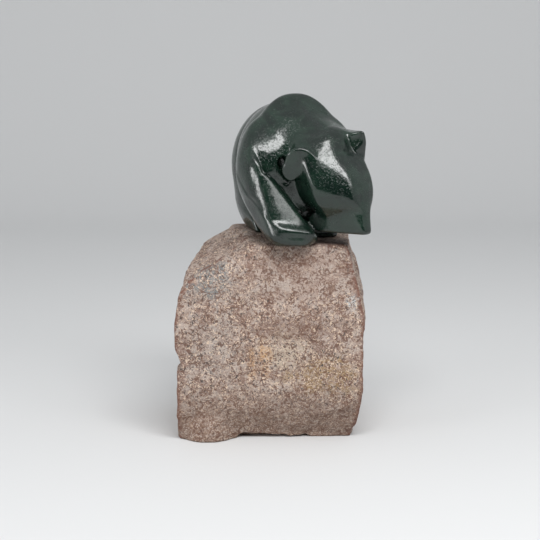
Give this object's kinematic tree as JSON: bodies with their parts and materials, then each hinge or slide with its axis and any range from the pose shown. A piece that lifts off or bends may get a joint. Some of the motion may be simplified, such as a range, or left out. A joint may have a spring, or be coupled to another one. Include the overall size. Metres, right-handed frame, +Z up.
{
  "type": "jade bear carving",
  "caption": "Polished dark green stone carving of a standing bear, its head turned and lowered, on a block of natural rock with a flat underside.",
  "frame": {"origin": "middle of the bounding box, on the plane of the stone's flat underside", "axes": "+Z up, -Y towards the side that the bear's chest faces, +X to the bear's left, where its head turns"},
  "size_m": [0.0772, 0.0774, 0.1353],
  "materials": {
    "jade": "polished, very dark green nephrite",
    "rock": "rough natural rind, mauve brown with cream, ochre and rust mottling"
  },
  "bodies": {
    "root": {"bear": "jade", "stone_base": "rock"}
  },
  "joints": []
}
